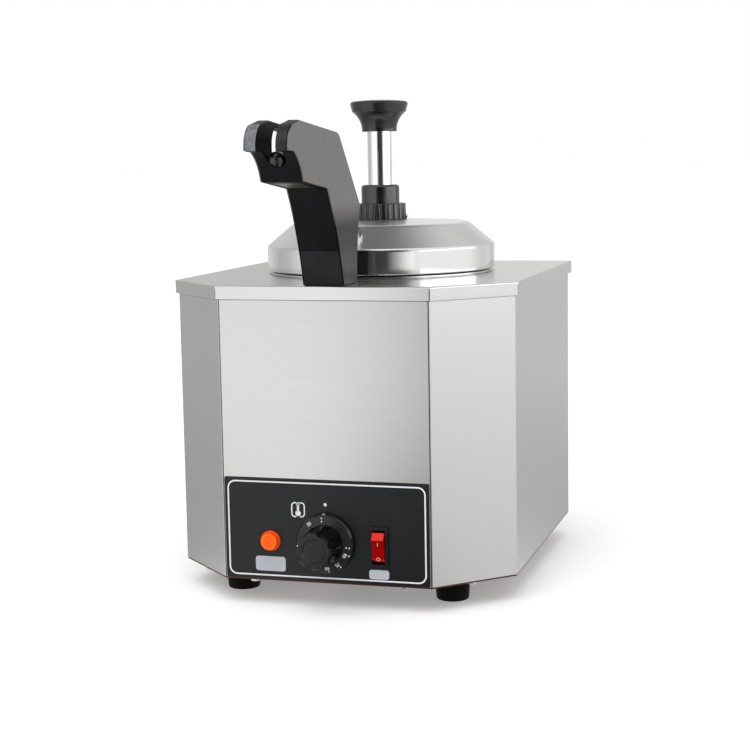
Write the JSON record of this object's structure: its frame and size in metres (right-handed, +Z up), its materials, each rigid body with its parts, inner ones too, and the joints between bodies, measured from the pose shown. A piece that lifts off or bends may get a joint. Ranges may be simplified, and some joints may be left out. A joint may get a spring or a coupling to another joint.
{
  "type": "hot topping warmer with pump",
  "caption": "Counter-top hot topping warmer: chamfer-fronted steel cabinet, heated well with jar, domed lid with hand pump, heated spout arm, dial, lamp and rocker switch.",
  "frame": {"origin": "middle of the whole footprint, nose of the spout arm included, on the surface it stands on", "axes": "+Z up, -Y towards the operator and the spout, +X to the operator's right"},
  "size_m": [0.265, 0.3912, 0.3694],
  "materials": {
    "satin_steel": "brushed",
    "lid_steel": "satin turned, polished rim",
    "inner_steel": "plain",
    "zinc_steel": "bright plated",
    "base_paint": "satin dark brown",
    "foot_rubber": "matt black",
    "fascia_black": "satin black",
    "lens_orange": "gloss",
    "lamp_shell": "matt",
    "switch_black": "satin",
    "rocker_red": "gloss",
    "control_grey": "matt",
    "dial_black": "satin",
    "wool": "mineral wool",
    "plate_aluminium": "machined",
    "heater_dark": "heat-toned",
    "copper": "drawn copper",
    "terminal_cream": "matt",
    "pin_brass": "plated",
    "lead_jackets": "silicone sleeved",
    "arm_black": "satin black",
    "arm_steel": "brushed upright",
    "seal_rubber": "silicone",
    "pump_black": "satin",
    "plunger_chrome": "polished",
    "piston_white": "satin"
  },
  "bodies": {
    "cabinet": {"deck_cap": "satin_steel", "front_panel": "satin_steel", "side_wrap_right": "satin_steel", "side_wrap_left": "satin_steel", "rear_panel": "satin_steel", "base_plate": "base_paint", "foot_front_left": "foot_rubber", "foot_front_right": "foot_rubber", "foot_rear_left": "foot_rubber", "foot_rear_right": "foot_rubber", "foot_screws": "zinc_steel", "base_screws": "zinc_steel", "rear_screws": "zinc_steel", "control_fascia": "fascia_black", "heat_lamp_lens": "lens_orange", "heat_lamp_body": "lamp_shell", "power_switch_body": "switch_black", "thermostat_body": "control_grey", "thermostat_screws": "zinc_steel", "heating_well": "inner_steel", "insulation_jacket": "wool", "heater_disc": "plate_aluminium", "heater_ring": "heater_dark", "heater_strap": "inner_steel", "heater_stud": "zinc_steel", "safety_cutout": "terminal_cream", "sensor_bulb": "copper", "capillary_tube": "copper", "terminal_block": "terminal_cream", "power_inlet": "switch_black", "inlet_pins": "pin_brass", "wiring_loom": "lead_jackets", "spout_base": "arm_black", "spout_housing": "arm_black", "spout_side_plate_left": "arm_steel", "spout_side_plate_right": "arm_steel", "spout_under_cover": "inner_steel", "spout_cartridge": "heater_dark", "spout_base_screws": "zinc_steel"},
    "jar": {"food_jar": "inner_steel"},
    "lid_and_pump": {"lid": "lid_steel", "lid_gasket": "seal_rubber", "tube_ferrule": "lid_steel", "pump_cylinder": "inner_steel", "plunger_collar": "pump_black", "plunger_spring": "inner_steel", "valve_body": "piston_white", "tube_nut": "inner_steel", "discharge_tube": "inner_steel", "spout_nozzle": "pump_black"},
    "lock_nut": {"lock_nut": "pump_black"},
    "plunger": {"plunger_shaft": "plunger_chrome", "plunger_knob": "pump_black", "plunger_piston": "piston_white", "piston_seal": "seal_rubber"},
    "check_ball": {"inlet_ball": "zinc_steel"},
    "dial": {"dial_shaft": "zinc_steel", "dial_knob": "dial_black"},
    "rocker": {"power_rocker": "rocker_red"}
  },
  "joints": [
    {"name": "jar_lift", "type": "slide", "parent": "cabinet", "child": "jar", "axis": [0, 0, 1], "range_m": [0, 0.2]},
    {"name": "lid_lift", "type": "slide", "parent": "jar", "child": "lid_and_pump", "axis": [0, 0, 1], "range_m": [0, 0.21]},
    {"name": "plunger_press", "type": "slide", "parent": "lid_and_pump", "child": "plunger", "axis": [0, 0, -1], "range_m": [0, 0.04], "stiffness_N_per_m": 350, "springref_m": -0.02, "deforming": ["plunger_spring"]},
    {"name": "nut_turn", "type": "hinge", "parent": "lid_and_pump", "child": "lock_nut", "pos_m": [0, 0.07505, 0.282], "axis": [0, 0, 1], "continuous": true},
    {"name": "ball_rise", "type": "slide", "parent": "lid_and_pump", "child": "check_ball", "axis": [0, 0, 1], "range_m": [0, 0.003]},
    {"name": "thermostat_turn", "type": "hinge", "parent": "cabinet", "child": "dial", "pos_m": [0, -0.09325, 0.0489], "axis": [0, 1, 0], "range_deg": [0, 270]},
    {"name": "rocker_tilt", "type": "hinge", "parent": "cabinet", "child": "rocker", "pos_m": [0.04, -0.08235, 0.0474], "axis": [-1, 0, 0], "range_deg": [0, 21.6]}
  ]
}
